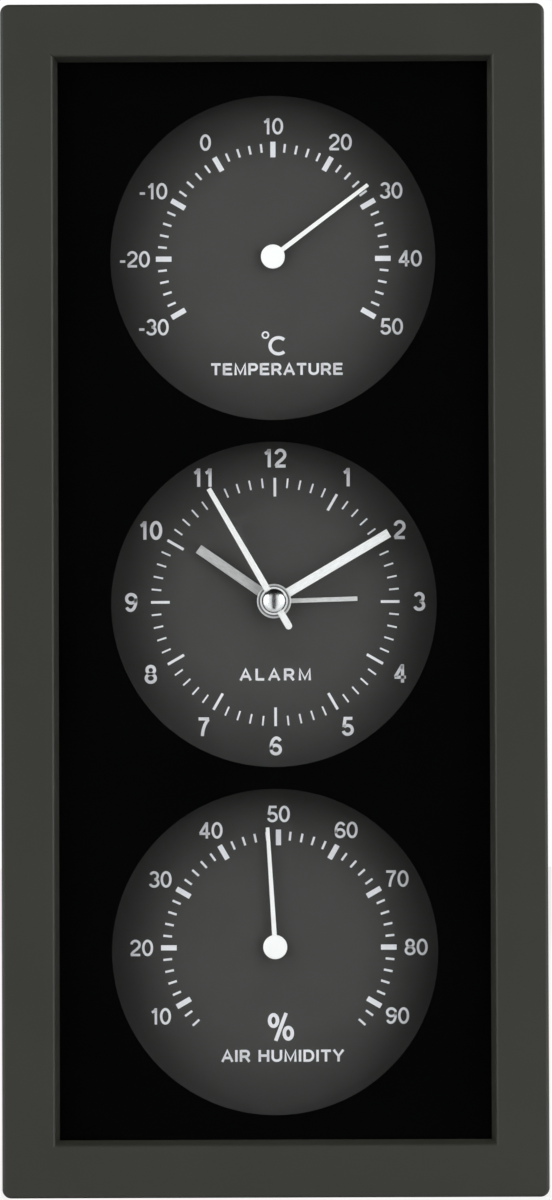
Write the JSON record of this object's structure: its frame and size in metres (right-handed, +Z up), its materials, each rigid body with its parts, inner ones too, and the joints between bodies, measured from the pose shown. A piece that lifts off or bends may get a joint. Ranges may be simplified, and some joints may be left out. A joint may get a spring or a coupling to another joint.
{
  "type": "thermometer hygrometer clock",
  "caption": "Upright desk clock with alarm hands, a thermometer dial above and a hygrometer dial below, set behind a black-bordered pane in a dark moulded case.",
  "frame": {"origin": "middle of the base, on the surface that the clock stands on", "axes": "+Z up, +X to the right of someone facing the dials, -Y out of the dials towards them"},
  "size_m": [0.09, 0.038, 0.197],
  "materials": {
    "case": "satin moulded",
    "pane": "polished clear",
    "border": "printed gloss black",
    "tape": "adhesive tape",
    "carrier": "fine matt",
    "dial": "matt grey print",
    "bright_hand": "fine brushed",
    "grey_hand": "fine brushed",
    "cap": "mirror polish",
    "needle": "matt white",
    "steel": "turned",
    "wheel_plastic": "natural acetal",
    "magnet": "plain",
    "setting": "acetal",
    "knob": "fine matt",
    "movement": "fine spark texture",
    "bobbin": "natural nylon",
    "copper": "enamelled wire",
    "board": "solder mask",
    "buzzer": "satin",
    "can": "drawn can",
    "contact": "nickel plated spring strip",
    "battery": "plain sleeve",
    "bimetal": "rolled strip",
    "humidity_strip": "coated rolled strip",
    "bracket": "plain moulded"
  },
  "bodies": {
    "case": {"front_frame": "case", "rear_cover": "case", "front_lens": "pane", "window_mask": "border", "lens_tape": "tape", "dial_carrier": "carrier", "dial_base": "carrier", "thermometer_dial": "dial", "clock_dial": "dial", "hygrometer_dial": "dial", "stator": "magnet", "coil_core": "magnet", "movement_case": "movement", "movement_front_plate": "movement", "middle_plate": "movement", "train_bridge": "movement", "coil_bobbin": "bobbin", "coil_winding": "copper", "circuit_board": "board", "buzzer": "buzzer", "quartz_crystal": "can", "positive_contact": "contact", "negative_contact": "contact", "alarm_contact": "contact", "thermometer_coil": "bimetal", "hygrometer_coil": "humidity_strip", "thermometer_bracket": "bracket", "hygrometer_bracket": "bracket"},
    "time_setting": {"setting_wheel": "setting", "time_set_knob": "knob"},
    "minute": {"minute_pipe": "wheel_plastic", "minute_hand": "bright_hand"},
    "hour": {"hour_wheel": "wheel_plastic", "hour_hand": "grey_hand"},
    "alarm_setting": {"alarm_setting_pinion": "setting", "alarm_set_knob": "knob"},
    "alarm": {"alarm_wheel": "wheel_plastic", "alarm_hand": "bright_hand"},
    "second": {"second_wheel": "wheel_plastic", "second_hand": "bright_hand", "second_hand_cap": "cap"},
    "third": {"third_wheel": "wheel_plastic"},
    "centre": {"centre_wheel": "wheel_plastic"},
    "intermediate": {"intermediate_wheel": "wheel_plastic"},
    "rotor": {"rotor": "wheel_plastic", "rotor_magnet": "magnet"},
    "thermometer": {"thermometer_needle": "needle", "thermometer_spindle": "steel"},
    "hygrometer": {"hygrometer_needle": "needle", "hygrometer_spindle": "steel"},
    "switch": {"alarm_switch": "knob"},
    "battery": {"battery": "battery"}
  },
  "joints": [
    {"name": "time_set", "type": "hinge", "parent": "case", "child": "time_setting", "pos_m": [-0.00866, 0.001, 0.0934], "axis": [0, 1, 0], "continuous": true},
    {"name": "minute_turn", "type": "hinge", "parent": "case", "child": "minute", "pos_m": [0, 0.001, 0.0984], "axis": [0, 1, 0], "continuous": true},
    {"name": "hour_turn", "type": "hinge", "parent": "case", "child": "hour", "pos_m": [0, 0.001, 0.0984], "axis": [0, 1, 0], "continuous": true},
    {"name": "alarm_set", "type": "hinge", "parent": "case", "child": "alarm_setting", "pos_m": [0.00707, 0.001, 0.10547], "axis": [0, 1, 0], "continuous": true},
    {"name": "alarm_turn", "type": "hinge", "parent": "case", "child": "alarm", "pos_m": [0, 0.001, 0.0984], "axis": [0, 1, 0], "continuous": true},
    {"name": "second_turn", "type": "hinge", "parent": "case", "child": "second", "pos_m": [0, 0.001, 0.0984], "axis": [0, 1, 0], "continuous": true},
    {"name": "third_turn", "type": "hinge", "parent": "case", "child": "third", "pos_m": [-0.00649, 0.001, 0.10489], "axis": [0, 1, 0], "continuous": true},
    {"name": "centre_turn", "type": "hinge", "parent": "case", "child": "centre", "pos_m": [0, 0.001, 0.0984], "axis": [0, 1, 0], "continuous": true},
    {"name": "intermediate_turn", "type": "hinge", "parent": "case", "child": "intermediate", "pos_m": [0.0036, 0.001, 0.09216], "axis": [0, 1, 0], "continuous": true},
    {"name": "rotor_turn", "type": "hinge", "parent": "case", "child": "rotor", "pos_m": [0.0106, 0.001, 0.09216], "axis": [0, 1, 0], "continuous": true},
    {"name": "thermometer_turn", "type": "hinge", "parent": "case", "child": "thermometer", "pos_m": [0, 0.001, 0.1559], "axis": [0, 1, 0], "range_deg": [-173, 67], "stiffness_Nm_per_rad": 0.0002, "deforming": ["thermometer_coil"]},
    {"name": "hygrometer_turn", "type": "hinge", "parent": "case", "child": "hygrometer", "pos_m": [0, 0.001, 0.0409], "axis": [0, 1, 0], "range_deg": [-128.5, 135.5], "stiffness_Nm_per_rad": 0.0002, "deforming": ["hygrometer_coil"]},
    {"name": "switch_slide", "type": "slide", "parent": "case", "child": "switch", "axis": [1, 0, 0], "range_m": [0, 0.0035]},
    {"name": "battery_lift", "type": "slide", "parent": "case", "child": "battery", "axis": [0, 1, 0], "range_m": [0, 0.025]}
  ],
  "couplings": [
    {"joint": "minute_turn", "follows": "time_set", "ratio": -3},
    {"joint": "hour_turn", "follows": "time_set", "ratio": -0.25},
    {"joint": "alarm_turn", "follows": "alarm_set", "ratio": -0.25},
    {"joint": "third_turn", "follows": "second_turn", "ratio": -0.13333},
    {"joint": "centre_turn", "follows": "second_turn", "ratio": 0.016667},
    {"joint": "intermediate_turn", "follows": "second_turn", "ratio": -5},
    {"joint": "rotor_turn", "follows": "second_turn", "ratio": 30}
  ]
}
